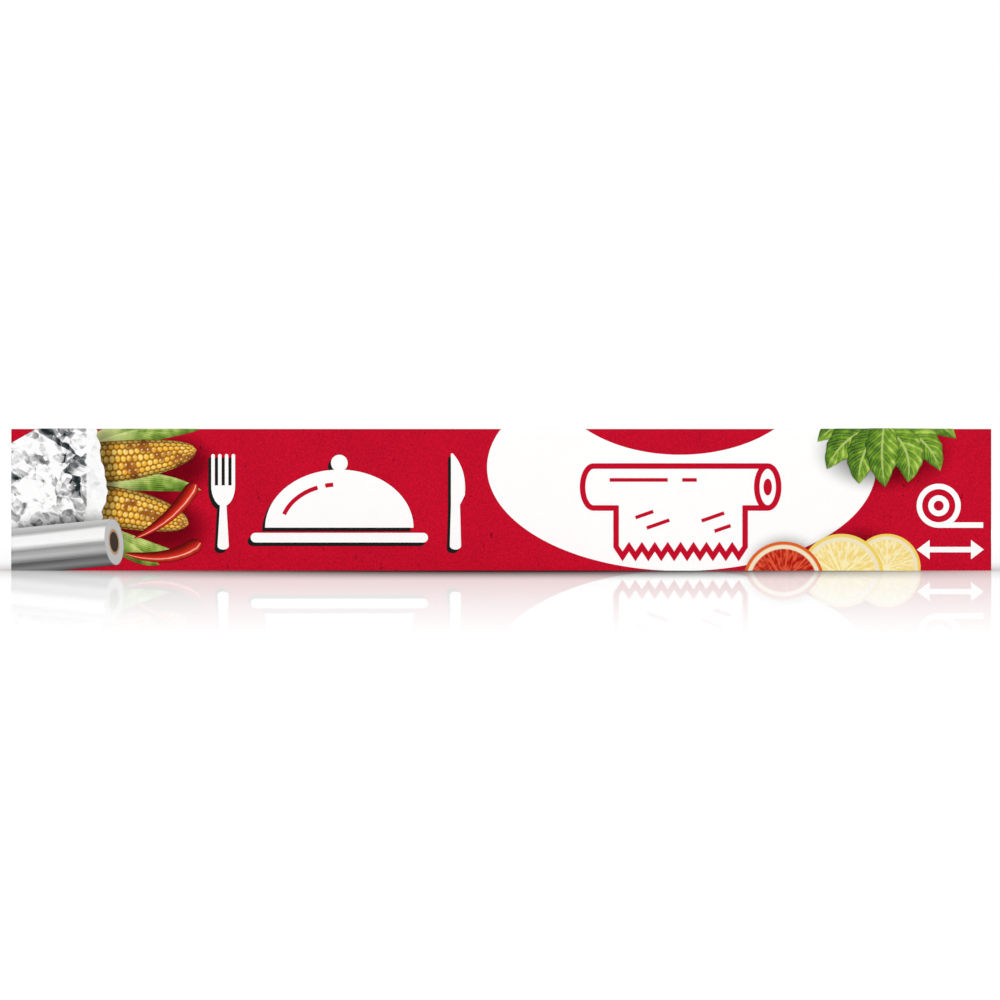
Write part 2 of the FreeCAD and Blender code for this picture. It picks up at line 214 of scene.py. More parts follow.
def coated_board_group():
    """Ink on coated board: cloudy and grainy, with sparse dark flecks, and a painted shade along its folds
    and edges.
    """
    graph, given, result = new_group(
        "coated_board",
        [("Ink", "NodeSocketColor", (1, 1, 1, 1)), ("Grain", "NodeSocketFloat", 0.3),
         ("Flecks", "NodeSocketFloat", 0.0), ("Fold", "NodeSocketFloat", 0.1)],
        [("Colour", "NodeSocketColor"), ("Roughness", "NodeSocketFloat"), ("Normal", "NodeSocketVector")])
    place = graph.place_mm()
    cloud_share, grain_share = 0.15, 0.85
    cloud = graph.noise(place, 0.07, detail=3.0)[0]
    grain = graph.noise(place, 1.6, detail=3.0, roughness=0.7)[0]
    swing = graph.plus(graph.times(cloud, cloud_share), graph.times(grain, grain_share))
    level = graph.times_plus(graph.minus(swing, 0.5), given["Grain"], 1.0)

    # More than half of the cells have a fleck, each of its own size, stretched upright and bent by noise
    stretch, bend = (1.0, 1.0, 0.45), 2.0
    without_fleck, largest, core = 0.45, 0.4, 0.35
    bent = graph.scaled(graph.noise(place, 0.6)[1], bend)
    spots = graph.cells(graph.vector("ADD", graph.vector("MULTIPLY", place, stretch), bent), 0.5)
    chance = graph.split(spots["Color"])[0]
    size = graph.times(graph.math("MAXIMUM", graph.minus(chance, without_fleck), 0.0), largest)
    fleck = graph.smooth(spots["Distance"], size, graph.times(size, core))
    level = graph.minus(level, graph.times(fleck, given["Flecks"]))

    # Painted shade: the ink is darker near the upright and top edges and over the top fold, as much as the
    # Fold input asks
    fold_shade_from, fold_shade_full = 0.9, 0.35
    on_fold = graph.smooth(fold_distance(graph, place), fold_shade_from, fold_shade_full)
    level = graph.minus(level, graph.times(on_fold, given["Fold"]))
    graph.feed(result["Colour"], graph.dimmed(given["Ink"], level))
    graph.feed(result["Roughness"], graph.smooth(grain, 0.3, 0.7, to_low=0.42, to_high=0.52))
    bump = graph.node("ShaderNodeBump", {"Strength": 0.12, "Distance": 0.00002, "Height": swing})
    graph.feed(result["Normal"], bump.outputs[0])
    return graph.tree


def citrus_group():
    """A citrus slice on a disc: wedges of flesh with juice streaks, pale membranes, pith and rind."""
    graph, given, result = new_group(
        "citrus_slice",
        [("Flesh", "NodeSocketColor", (1, 1, 1, 1)), ("Pale", "NodeSocketColor", (1, 1, 1, 1)),
         ("Rind", "NodeSocketColor", (1, 1, 1, 1))],
        [("Colour", "NodeSocketColor")])
    share = graph.drawn("share")
    x, y, _ = graph.split(share)
    radius = graph.vector("LENGTH", share)
    turn = graph.math("ARCTAN2", y, x)
    wedges = 10
    wedge = graph.math("FRACT", graph.times_plus(turn, wedges / (2 * math.pi), wedges / 2))
    from_middle = graph.math("ABSOLUTE", graph.minus(wedge, 0.5))
    from_membrane = graph.times(graph.minus(0.5, from_middle), radius)
    fan = graph.join(graph.times(turn, 9.0), graph.times(radius, 5.0))
    streaks = graph.noise(fan, 1.0, detail=3.0)[0]
    flesh = graph.mix(graph.smooth(streaks, 0.38, 0.68), given["Flesh"], given["Pale"])
    flesh = graph.mix(graph.smooth(from_membrane, 0.05, 0.02), flesh, given["Pale"])
    flesh = graph.mix(graph.smooth(radius, 0.12, 0.06), flesh, given["Pale"])
    pith_colour = (0.86, 0.78, 0.55)
    inside = graph.mix(graph.smooth(radius, 0.8, 0.84), flesh, pith_colour)
    graph.feed(result["Colour"], graph.mix(graph.smooth(radius, 0.9, 0.94), inside, given["Rind"]))
    return graph.tree


COATED_BOARD = coated_board_group()
CITRUS_SLICE = citrus_group()


def new_material(name):
    """A material with its graph and its surface shader."""
    material = bpy.data.materials.new(name)
    material.use_nodes = True
    graph = Graph(material.node_tree)
    return material, graph, material.node_tree.nodes["Principled BSDF"].inputs


def ink_material(name, ink, grain=0.12, flecks=0.0, fold=0.06):
    """Print on the coated board. The ink is a plain colour, or a function that draws it with the graph."""
    material, graph, surface = new_material(name)
    colour = ink(graph) if callable(ink) else ink
    # fold sets how dark the painted shade along the folds and edges is
    board = use(graph, COATED_BOARD, Ink=colour, Grain=grain, Flecks=flecks, Fold=fold)
    graph.feed(surface["Base Color"], board["Colour"])
    graph.feed(surface["Roughness"], board["Roughness"])
    graph.feed(surface["Normal"], board["Normal"])
    surface["Specular IOR Level"].default_value = GLOSS
    return material


def foil_roll_ink(graph):
    """A bright metal cylinder: bands of light and dark across, and fine drawn lines along."""
    share = graph.split(graph.drawn("share"))
    place = graph.split(graph.drawn("place"))
    lines_along, lines_across, waver = 0.04, 3.0, 0.1
    drawn_out = graph.join(graph.times(place[0], lines_along), graph.times(place[1], lines_across))
    lines = graph.noise(drawn_out, 1.0, detail=4.0)[0]
    across = graph.times_plus(share[1], 0.5, 0.5)
    across = graph.plus(across, graph.times(graph.minus(lines, 0.5), waver))
    return graph.ramp(across, (0.0, 0.07), (0.1, 0.23), (0.22, 0.1), (0.36, 0.51), (0.5, 0.31), (0.62, 0.95),
                      (0.8, 0.9), (0.87, 0.41), (1.0, 0.61))


def roll_end_ink(graph):
    """The end of the roll: wound layers round a brown core with a dark bore."""
    radius = graph.vector("LENGTH", graph.drawn("share"))
    winding, contrast = 70.0, 0.22
    layers = graph.math("SINE", graph.times(radius, winding))
    metal = graph.ramp(graph.times_plus(layers, contrast, 0.5), (0.2, 0.3), (0.8, 0.72))
    brown, dark = (0.42, 0.27, 0.14), (0.05, 0.035, 0.03)
    core = graph.mix(graph.smooth(radius, 0.58, 0.54), metal, brown)
    return graph.mix(graph.smooth(radius, 0.46, 0.42), core, dark)


def crinkled_foil_ink(graph):
    """Crumpled foil: facets of three sizes with their own lean, creases, and a smooth hem at the right.

    The shade is lighter half way up. Each size of facet is its scale, how much the shade runs across a facet,
    and how much neighbours differ.
    """
    facet_sizes = ((0.075, 0.04, 0.5), (0.2, 0.13, 0.42), (0.5, 0.22, 0.3))
    crease_width, highlight_width = 0.16, 0.1
    crease_dark, highlight = -0.42, 0.14
    hem_start, hem_full, hem_share, hem_shade = -129.0, -128.2, 0.85, 0.86
    place = graph.place_mm()
    x, _, z = graph.split(place)
    bend = graph.scaled(graph.vector("SUBTRACT", graph.noise(place, 0.13)[1], (0.5,) * 3), 5.0)
    slant = graph.join(graph.times_plus(z, 0.5, x), graph.times_plus(x, -0.25, z))
    flat = graph.vector("ADD", slant, bend)
    off_middle = graph.math("ABSOLUTE", graph.minus(z, SLEEVE_MIDDLE))
    shade = graph.smooth(off_middle, 10.0, 20.0, to_low=0.7, to_high=0.46)
    for scale, lean, step in facet_sizes:
        facet = graph.cells(flat, scale)
        tilt = graph.vector("SUBTRACT", facet["Color"], (0.5,) * 3)
        slope = graph.vector("DOT_PRODUCT", graph.vector("SUBTRACT", flat, facet["Position"]), tilt)
        shade = graph.times_plus(slope, lean, shade)
        shade = graph.times_plus(graph.split(tilt)[0], step, shade)
    crease = graph.cells(flat, 0.2, "DISTANCE_TO_EDGE")["Distance"]
    dark_side = graph.smooth(graph.noise(place, 0.22)[0], 0.52, 0.62)
    dark_crease = graph.times(graph.smooth(crease, crease_width, 0.0), dark_side)
    shade = graph.times_plus(dark_crease, crease_dark, shade)
    shade = graph.times_plus(graph.smooth(crease, highlight_width, 0.0), highlight, shade)
    hem = graph.times(graph.smooth(x, hem_start, hem_full), hem_share)
    shade = graph.times_plus(graph.minus(hem_shade, shade), hem, shade)
    return graph.ramp(shade, (0.12, (0.012, 0.02, 0.024)), (0.28, (0.1, 0.115, 0.12)), (0.43, 0.25),
                      (0.58, 0.43), (0.68, 0.62), (0.77, 0.86), (0.86, 0.97))


def corn_ink(graph):
    """A corn cob: staggered rows of plump kernels, each lit from above, with a few browned by the grill."""
    rows_seen, first_row, kernels_per_mm, waver = 9, 20.0, 0.56, 0.5
    along = graph.split(graph.drawn("place"))[0]
    across = graph.split(graph.drawn("share"))[1]
    bend = graph.noise(graph.place_mm(), 0.25)[0]
    round_it = graph.math("ARCSINE", graph.times(across, 0.985))
    row = graph.times_plus(round_it, rows_seen / math.pi, first_row)
    row = graph.plus(row, graph.times(bend, waver))
    row_count = graph.math("FLOOR", row)
    stagger = graph.times(graph.math("MODULO", row_count, 2.0), 0.5)
    kernel = graph.plus(graph.times(along, kernels_per_mm), stagger)
    a = graph.minus(graph.math("FRACT", row), 0.5)
    b = graph.minus(graph.math("FRACT", kernel), 0.5)
    spread = graph.times(graph.vector("LENGTH", graph.join(a, b)), 2.0)
    from_light = graph.vector("LENGTH", graph.join(graph.minus(a, 0.16), graph.plus(b, 0.12)))
    own = graph.join(row_count, graph.math("FLOOR", kernel))
    chance = graph.node("ShaderNodeTexWhiteNoise", {"Vector": own}, noise_dimensions="3D").outputs["Value"]
    body = graph.ramp(chance, (0.0, (0.86, 0.42, 0.03)), (0.5, (0.93, 0.58, 0.07)), (1.0, (0.98, 0.72, 0.17)))
    char = graph.noise(graph.place_mm(), 0.2, detail=3.0)[0]
    char = graph.smooth(graph.plus(char, graph.times(chance, 0.12)), 0.58, 0.74)
    charred, between_kernels, lit = (0.3, 0.08, 0.012), (0.33, 0.11, 0.01), (1.0, 0.93, 0.66)
    body = graph.mix(char, body, charred)
    body = graph.mix(graph.smooth(spread, 0.62, 1.12), body, between_kernels)
    body = graph.mix(graph.smooth(from_light, 0.2, 0.04, to_high=0.75), body, lit)
    rounding = graph.smooth(graph.math("ABSOLUTE", across), 0.55, 1.0, to_low=1.0, to_high=0.35)
    return graph.dimmed(body, rounding)


def husk_ink(graph):
    """Corn husk: pale at the cob, green towards the tip, with veins side by side along it."""
    share = graph.split(graph.drawn("share"))
    vein_turn, vein_depth, side_light = 26.0, 0.1, 0.25
    veins = graph.math("SINE", graph.times(share[1], vein_turn))
    shift = graph.noise(graph.place_mm(), 0.3, detail=3.0)[0]
    tone = graph.times_plus(veins, vein_depth, graph.times_plus(share[1], side_light, shift))
    green = graph.ramp(tone, (0.2, (0.06, 0.13, 0.012)), (0.5, (0.22, 0.36, 0.05)), (0.85, (0.62, 0.7, 0.22)))
    pale = (0.8, 0.8, 0.4)
    return graph.mix(graph.smooth(share[0], 0.0, 0.5, to_low=0.6, to_high=0.0), green, pale)


def leaf_ink(graph):
    """A herb leaf: a pale midrib, side veins that slant to the tip, and plump glossy fields between them."""
    side_veins, slope = 8.0, 2.0
    patch_light, field_light, side_light, least_light = 0.75, -0.28, 0.16, 0.12
    share = graph.split(graph.drawn("share"))
    side = graph.math("ABSOLUTE", share[1])
    slant = graph.minus(graph.times(share[0], side_veins), graph.times(side, slope))
    between = graph.minus(graph.math("FRACT", graph.plus(slant, 2 * slope)), 0.5)
    field = graph.times(graph.math("ABSOLUTE", between), 2.0)
    patch = graph.noise(graph.place_mm(), 0.42, detail=3.0)[0]
    tone = graph.plus(graph.times(patch, patch_light), graph.times(field, field_light))
    tone = graph.plus(tone, graph.times_plus(share[1], side_light, least_light))
    green = graph.ramp(tone, (0.08, (0.02, 0.07, 0.006)), (0.3, (0.08, 0.2, 0.015)), (0.5, (0.22, 0.4, 0.03)),
                       (0.72, (0.55, 0.7, 0.16)))
    side_vein = graph.smooth(field, 0.86, 0.97, to_high=0.5)
    midrib = graph.smooth(side, 0.1, 0.04, to_high=0.8)
    pale, dark = (0.5, 0.62, 0.18), (0.02, 0.06, 0.006)
    green = graph.mix(graph.math("MAXIMUM", side_vein, midrib), green, pale)
    return graph.mix(graph.smooth(side, 0.82, 1.0, to_high=0.55), green, dark)


def chilli_ink(graph):
    """A glossy red chilli: dark along its edges, with a soft streak of light."""
    share = graph.split(graph.drawn("share"))
    patch = graph.noise(graph.place_mm(), 0.5, detail=2.0)[0]
    waver, lowest = 0.12, 0.44
    across = graph.times_plus(patch, waver, graph.times_plus(share[1], 0.5, lowest))
    return graph.ramp(across, (0.0, (0.06, 0.002, 0.002)), (0.25, (0.24, 0.006, 0.004)),
                      (0.5, (0.55, 0.018, 0.008)), (0.64, (0.7, 0.05, 0.02)), (0.7, (0.95, 0.6, 0.5)),
                      (0.76, (0.7, 0.05, 0.02)), (1.0, (0.2, 0.004, 0.003)))


def lemon_ink(graph):
    colours = {"Flesh": (0.88, 0.68, 0.2), "Pale": (0.95, 0.86, 0.52), "Rind": (0.86, 0.64, 0.12)}
    return use(graph, CITRUS_SLICE, **colours)["Colour"]


def blood_orange_ink(graph):
    colours = {"Flesh": (0.42, 0.008, 0.005), "Pale": (0.76, 0.1, 0.04), "Rind": (0.72, 0.12, 0.015)}
    return use(graph, CITRUS_SLICE, **colours)["Colour"]


def shadow_material():
    """The soft shadow printed under a motif: matt black that fades out towards the rim of its patch."""
    material, graph, surface = new_material("printed_shadow")
    rim, core, darkest = 1.0, 0.4, 0.45
    radius = graph.vector("LENGTH", graph.drawn("share"))
    surface["Base Color"].default_value = (0, 0, 0, 1)
    surface["Specular IOR Level"].default_value = 0.0
    graph.feed(surface["Alpha"], graph.smooth(radius, rim, core, to_high=darkest))
    return material


def raw_board_material():
    """A cut edge of the board: pale pressed fibre in thin layers."""
    material, graph, surface = new_material("raw_board_edge")
    place = graph.place_mm()
    fibre = graph.noise(place, 6.0, detail=4.0, roughness=0.7)[0]
    blotch = graph.noise(place, 0.6)[0]
    colour = graph.ramp(fibre, (0.3, (0.36, 0.31, 0.24)), (0.7, (0.7, 0.65, 0.56)))
    pale = (0.8, 0.76, 0.7)
    colour = graph.mix(graph.smooth(blotch, 0.4, 0.7, to_high=0.4), colour, pale)
    graph.feed(surface["Base Color"], colour)
    graph.feed(surface["Roughness"], graph.smooth(fibre, 0.3, 0.7, to_low=0.8, to_high=0.95))
    bump = graph.node("ShaderNodeBump", {"Strength": 0.5, "Distance": 0.00005, "Height": fibre})
    graph.feed(surface["Normal"], bump.outputs[0])
    return material


def cutter_material():
    """Bright rolled steel strip: fine lines along it, and a few dull smears."""
    material, graph, surface = new_material("rolled_steel")
    place = graph.place_mm()
    drawn_out = (0.05, 9.0, 9.0)
    lines = graph.noise(graph.vector("MULTIPLY", place, drawn_out), 1.0, detail=4.0)[0]
    smear = graph.noise(place, 0.12, detail=3.0)[0]
    graph.feed(surface["Base Color"], graph.ramp(lines, (0.3, (0.45, 0.46, 0.48)), (0.7, (0.68, 0.69, 0.7))))
    surface["Metallic"].default_value = 1.0
    graph.feed(surface["Roughness"], graph.smooth(smear, 0.35, 0.7, to_low=0.26, to_high=0.42))
    bump = graph.node("ShaderNodeBump", {"Strength": 0.15, "Distance": 0.00002, "Height": lines})
    graph.feed(surface["Normal"], bump.outputs[0])
    return material


def wrapped(u, v, lift):
    """The place on the folded board of a point (u, v) of the flat sheet, in metres."""
    if v <= FOLD_START:
        return Vector((u, -HALF_DEPTH - lift, v)) * MM
    if v >= TOP_START:
        return Vector((u, v - TOP_START + FOLD_RADIUS - HALF_DEPTH, HEIGHT + lift)) * MM
    turn = (v - FOLD_START) / FOLD_RADIUS
    reach = FOLD_RADIUS + lift
    y = FOLD_RADIUS - HALF_DEPTH - reach * math.cos(turn)
    return Vector((u, y, FOLD_START + reach * math.sin(turn))) * MM


def curve(start, pull, end, count=16):
    """Points along a curve from start to end, drawn towards the point pull."""
    points = []
    for i in range(count + 1):
        s = i / count
        points.append(Vector(start) * (1 - s) ** 2 + Vector(pull) * 2 * s * (1 - s) + Vector(end) * s ** 2)
    return points


def arc(centre, radii, first, last, count=24):
    """Points along an ellipse's arc, from one angle to another in degrees."""
    points = []
    for i in range(count + 1):
        angle = math.radians(first + (last - first) * i / count)
        out = Vector((radii[0] * math.cos(angle), radii[1] * math.sin(angle)))
        points.append(Vector(centre) + out)
    return points


def offset_line(points, distance, closed=False):
    """A line's parallel on its left side, with mitred corners."""
    moved = []
    count = len(points)
    for i, point in enumerate(points):
        before = points[i - 1] if i or closed else None
        after = points[(i + 1) % count] if i < count - 1 or closed else None
        way_in = (point - before).normalized() if before is not None else (after - point).normalized()
        way_out = (after - point).normalized() if after is not None else way_in
        side_in, side_out = Vector((-way_in.y, way_in.x)), Vector((-way_out.y, way_out.x))
        mitre = (side_in + side_out).normalized()
        moved.append(point + mitre * distance / max(mitre.dot(side_in), 0.3))
    return moved


class Print:
    """Printed shapes in one ink on one layer, drawn flat and then wrapped onto the board as one mesh."""

    def __init__(self, name, layer, shift=(0, 0)):
        self.name = name
        self.lift = INK_LIFT + INK_STEP * layer
        self.shift = Vector(shift)
        self.mesh = bmesh.new()
        self.place = self.mesh.loops.layers.uv.new("place")
        self.share = self.mesh.loops.layers.uv.new("share")
        self.shapes = 0

    def face(self, corners):
        """Adds a face. Each corner is (point, place, share)."""
        height = self.shapes * SHAPE_STEP
        verts = [self.mesh.verts.new((*(point + self.shift), height)) for point, _, _ in corners]
        face = self.mesh.faces.new(verts)
        for loop, (_, place, share) in zip(face.loops, corners):
            loop[self.place].uv = place
            loop[self.share].uv = share

    def patch(self, outline):
        """A flat field with any outline."""
        points = [Vector(point) for point in outline]
        self.face([(point, point, point) for point in points])
        self.shapes += 1

    def rows(self, rows, closed=False):
        """Faces between neighbouring rows of corners."""
        for below, above in zip(rows, rows[1:]):
            last = len(below) if closed else len(below) - 1
            for i in range(last):
                j = (i + 1) % len(below)
                self.face([below[i], below[j], above[j], above[i]])
        self.shapes += 1

    def stroke(self, points, width, closed=False):
        """A line of even width."""
        points = [Vector(point) for point in points]
        left = offset_line(points, width / 2, closed)
        right = offset_line(points, -width / 2, closed)
        self.rows([[(p, p, p) for p in left], [(p, p, p) for p in right]], closed)

    def disc(self, centre, radii, angle=0.0, count=48):
        """An ellipse, with its long way turned by an angle in degrees."""
        centre = Vector(centre)
        turn = math.radians(angle)
        across, up = Vector((math.cos(turn), math.sin(turn))), Vector((-math.sin(turn), math.cos(turn)))
        rim = []
        for i in range(count):
            way = 2 * math.pi * i / count
            share = Vector((math.cos(way), math.sin(way)))
            rim.append((share, across * radii[0] * share.x + up * radii[1] * share.y))
        for i in range(count):
            j = (i + 1) % count
            corners = [(centre, Vector((0, 0)), Vector((0, 0)))]
            for share, out in (rim[i], rim[j]):
                corners.append((centre + out, out, share))
            self.face(corners)
        self.shapes += 1

    def ribbon(self, spine, half_width, parts=4):
        """A shape along a spine. half_width gives its half width, from the share of the length run so far."""
        total = sum((b - a).length for a, b in zip(spine, spine[1:]))
        normals = [(b - a).normalized() for a, b in zip(offset_line(spine, 0), offset_line(spine, 1))]
        rows = []
        run = 0.0
        for i, (point, side) in enumerate(zip(spine, normals)):
            if i:
                run += (point - spine[i - 1]).length
            width = half_width(run / total)
            row = []
            for k in range(parts + 1):
                t = 2 * k / parts - 1
                row.append((point + side * t * width, Vector((run, t * width)), Vector((run / total, t))))
            rows.append(row)
        self.rows(rows)

    def wrap(self, material):
        """Trims the drawing to its panel, folds it over the top edge and makes it a piece of the carton."""
        mesh = self.mesh
        mesh.normal_update()
        bmesh.ops.triangulate(mesh, faces=mesh.faces)
        self.cut(mesh.faces, (0, PANEL_LIFT), (0, -1), clear=True)
        for side in (-1, 1):
            self.cut(mesh.faces, (side * PANEL_END, 0), (side, 0), clear=True)
        for step in range(FOLD_STEPS + 1):
            self.cut(mesh.faces, (0, FOLD_START + (TOP_START - FOLD_START) * step / FOLD_STEPS), (0, 1))
        for side in (-1, 1):
            over = [face for face in mesh.faces if face.calc_center_median().y > TOP_START]
            self.cut(over, (side * TOP_END, 0), (side, 0), clear=True)
        mesh.normal_update()
        bmesh.ops.reverse_faces(mesh, faces=[face for face in mesh.faces if face.normal.z < 0])
        bmesh.ops.triangulate(mesh, faces=mesh.faces)
        for vert in mesh.verts:
            vert.co = wrapped(vert.co.x, vert.co.y, self.lift + vert.co.z)
        bmesh.ops.remove_doubles(mesh, verts=mesh.verts, dist=WELD * MM)
        data = bpy.data.meshes.new(self.name)
        mesh.to_mesh(data)
        mesh.free()
        data.materials.append(material)
        piece = bpy.data.objects.new(self.name, data)
        bpy.context.collection.objects.link(piece)
        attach(piece, "root")

    def cut(self, faces, point, outward, clear=False):
        """Cuts faces along a line, and clears away what lies outward of it if asked."""
        faces = list(faces)
        edges = {edge for face in faces for edge in face.edges}
        verts = {vert for face in faces for vert in face.verts}
        bmesh.ops.bisect_plane(self.mesh, geom=[*verts, *edges, *faces], dist=CUT_SLACK,
                               plane_co=(*point, 0), plane_no=(*outward, 0), clear_outer=clear)


def shadow(name, layer, patches, material):
    """Soft shadows under a motif. Each patch is (centre, radii, angle)."""
    under = Print(name, layer)
    for centre, radii, angle in patches:
        under.disc(centre, radii, angle)
    under.wrap(material)


def is_inside(point, centre, radii):
    """Whether a point lies in an ellipse."""
    out = point - Vector(centre)
    return (out.x / radii[0]) ** 2 + (out.y / radii[1]) ** 2 < 1


def white_field(inks):
    """The large white crescent: an oval that runs over the top fold, less an oval bite out of its top."""
    oval = ((55.9, 32.1), (60.3, 32.1))
    bite = ((55.4, 61.0), (40.0, 25.0))
    outer = [point for point in arc(*oval, 90, 450, 360) if not is_inside(point, *bite)]
    inner = [point for point in arc(*bite, 90, -270, 360) if is_inside(point, *oval)]
    field = Print("white_crescent_print", 0)
    field.patch([*outer, *inner])
    field.wrap(inks["white"])


# The middle of the dish cover's foot, from the sign's own middle, and the ends of the cutlery's handles
DISH_FOOT = (0, -8.6)
HANDLE_END = -14.2
HANDLE_RIM = (1.75, 1.2)


def draw_dish(sheet):
    """A covered dish on its platter, about its own middle."""
    end, rim = (26, -11.7), (1.5, 1.5)
    sheet.patch([*arc(end, rim, -90, 90, 10), *arc((-end[0], end[1]), rim, 90, 270, 10)])
    sheet.patch(arc(DISH_FOOT, (23.0, 18.0), 0, 180, 60))
    sheet.patch([(-1.2, 8.5), (1.2, 8.5), (1.2, 10.5), (-1.2, 10.5)])
    sheet.disc((0, 11.4), (2.6, 2.6))


def draw_fork(sheet, middle):
    """A fork with four tines, upright."""
    spacing, half_tine, root, tip = 2.1, 0.55, 4.5, 13.7
    for k in range(4):
        u = middle + spacing * (k - 1.5)
        rounded = arc((u, tip), (half_tine, half_tine), 0, 180, 8)
        sheet.patch([(u - half_tine, root), (u + half_tine, root), *rounded])
    sheet.patch(arc((middle, root), (1.5 * spacing + half_tine, 6.5), 180, 360, 24))
    sheet.ribbon(curve((middle, -1.5), (middle, -8.0), (middle, HANDLE_END), 3), lambda s: 1.0 + 0.75 * s)
    sheet.disc((middle, HANDLE_END), HANDLE_RIM)


def draw_knife(sheet, middle):
    """A table knife, upright, with its edge to the right."""
    blade = curve((middle + 2.9, 1.5), (middle + 3.6, 9.5), (middle - 0.8, 14.4), 12)
    sheet.patch([(middle - 1.4, -1.5), (middle + 1.4, -1.5), *blade, (middle - 1.4, 14.4)])
    sheet.ribbon(curve((middle, -1.4), (middle, -8.0), (middle, HANDLE_END), 3), lambda s: 1.4 + 0.35 * s)
    sheet.disc((middle, HANDLE_END), HANDLE_RIM)


def draw_laid_table(sheet):
    draw_dish(sheet)
    draw_fork(sheet, -36.0)
    draw_knife(sheet, 36.0)


def table_sign(inks):
    """The white sign of a laid table, with its black shade set off down and to the left."""
    middle = Vector((-50.2, 22.0))
    shade = Print("table_sign_shade", 1, middle + Vector((-0.9, -1.1)))
    draw_laid_table(shade)
    shade.wrap(inks["black"])
    sign = Print("table_sign_print", 2, middle)
    draw_laid_table(sign)
    sign.wrap(inks["white"])
    gleam = Print("dish_gleam_print", 3, middle)
    for first, last in ((112, 162), (96, 104)):
        gleam.stroke(arc(DISH_FOOT, (18.0, 13.4), first, last, 16), 1.3)
    gleam.wrap(inks["sign_red"])


def torn_edge(width, top, bottom, teeth, depth):
    """The two sides and the toothed lower edge of a sheet torn off on a cutter."""
    points = [(-width / 2, top), (-width / 2, bottom)]
    for k in range(teeth):
        u = -width / 2 + width * k / teeth
        points.append((u + width / teeth / 2, bottom - depth))
        points.append((u + width / teeth, bottom))
    points.append((width / 2, top))
    return points


def roll_sign(inks):
    """The red line drawing of a foil roll with its sheet drawn out and torn off."""
    sign = Print("roll_sign_print", 2, (55.6, 18.0))
    line, fine_line = 1.7, 1.1
    roll_end, roll_height, radius = 27.0, 8.0, 6.5
    sheet_width = 40.0
    inner = sheet_width / 2 - 0.5
    round_end = arc((-roll_end, roll_height), (3.4, radius), 270, 90, 24)
    sign.stroke([(-inner, roll_height - radius), *round_end, (roll_end, roll_height + radius)], line)
    sign.stroke([(inner, roll_height - radius), (roll_end, roll_height - radius)], line)
    sign.stroke(arc((roll_end, roll_height), (3.4, radius), 0, 360, 48)[:-1], line, closed=True)
    sign.disc((roll_end, roll_height), (1.3, 2.6))
    sign.stroke(torn_edge(sheet_width, 2.3, -10.5, 10, 3.0), line)
    for u, v, length in ((-14.0, -1.5, 5.5), (-10.5, -4.7, 7.0), (6.5, -2.5, 7.0), (10.5, -5.7, 5.0)):
        sign.stroke([(u, v), (u + length, v + length * 0.35)], fine_line)
    for first, last in ((-22.0, -4.0), (0.5, 5.0)):
        sign.stroke([(first, roll_height + 2.2), (last, roll_height + 2.2)], fine_line)
    sign.wrap(inks["sign_red"])


def length_sign(inks):
    """The white sign for the sheet's length: a roll seen from its end, its sheet, and a measuring arrow."""
    sign = Print("length_sign_print", 2, (139.2, 15.2))
    line = 1.7
    for radius in (6.0, 2.4):
        sign.stroke(arc((-3.6, 5.0), (radius, radius), 0, 360, 40)[:-1], line, closed=True)
    sign.stroke([(-3.6, -1.0), (10.2, -1.0)], line)
    sign.stroke([(-7.5, -8.6), (7.5, -8.6)], line)
    for side in (-1, 1):
        sign.patch([(side * 10.4, -8.6), (side * 6.4, -11.6), (side * 6.4, -5.6)])
    sign.wrap(inks["white"])


def husk_leaves(inks):
    husks = Print("husk_print", 2)
    for start, pull, end, width in (
            ((-126, 41), (-112, 47), (-99, 43), 2.6),
            ((-125, 39), (-110, 43), (-93, 44), 2.2),
            ((-125, 27), (-108, 29), (-93, 25), 2.8),
            ((-126, 14), (-114, 6), (-99, 5), 2.8),
            ((-124, 12), (-112, 3), (-106, 2), 2.4)):
        def half_width(s):
            return width * math.sin(math.pi * (0.12 + 0.88 * s)) ** 0.7
        husks.ribbon(curve(start, pull, end), half_width)
    husks.wrap(inks["husk"])


def corn_cobs(inks):
    def half_width(s):
        return 6.4 * (1 - 1.88 * max(0.0, s - 0.25) ** 2.2) ** 0.5
    cobs = Print("corn_print", 3)
    cobs.ribbon(curve((-134, 33), (-112, 34), (-94.5, 37.5), 40), half_width, parts=12)
    cobs.ribbon(curve((-134, 21), (-114, 20), (-97, 14.5), 40), half_width, parts=12)
    cobs.wrap(inks["corn"])


def chillies(inks):
    def half_width(s):
        return 2.3 * (1 - s ** 1.6) ** 0.6 * min(1.0, 0.5 + 8 * s)
    pods = Print("chilli_print", 5)
    pods.ribbon(curve((-95, 27), (-101, 16), (-114, 10), 24), half_width, parts=8)
    pods.ribbon(curve((-93.5, 9), (-102, 2), (-117, 5.5), 24), half_width, parts=8)
    pods.wrap(inks["chilli"])


def foil_sleeve(inks):
    """The crinkled foil round the cobs, with a ragged right edge."""
    sleeve = Print("foil_sleeve_print", 5)
    rng = random.Random(5)
    low, high, steps = 9.0, 46.5, 24
    furthest, lean, tear = -122.0, 4.0 / 20, 0.5
    ragged = []
    for k in range(steps + 1):
        v = low + (high - low) * k / steps
        ragged.append((furthest - lean * abs(v - SLEEVE_MIDDLE) + rng.uniform(-tear, tear), v))
    sleeve.patch([(-153, low), *ragged, (-132, 48.5), (-139, 47.0), (-146, 43.0), (-153, 39.0)])
    sleeve.wrap(inks["crinkled_foil"])


def foil_roll(inks):
    """The roll low at the left end: its bright side, and its end with the core."""
    radius = 7.2
    end_middle, end_lean = (-120, 9.0), 5.7
    roll = Print("foil_roll_print", 7)
    roll.ribbon(curve((-160, 5.0), (-140, 7.0), end_middle, 2), lambda s: radius, parts=2)
    roll.wrap(inks["foil_roll"])
    end = Print("roll_end_print", 8)
    end.disc(end_middle, (2.9, radius), end_lean)
    end.wrap(inks["roll_end"])


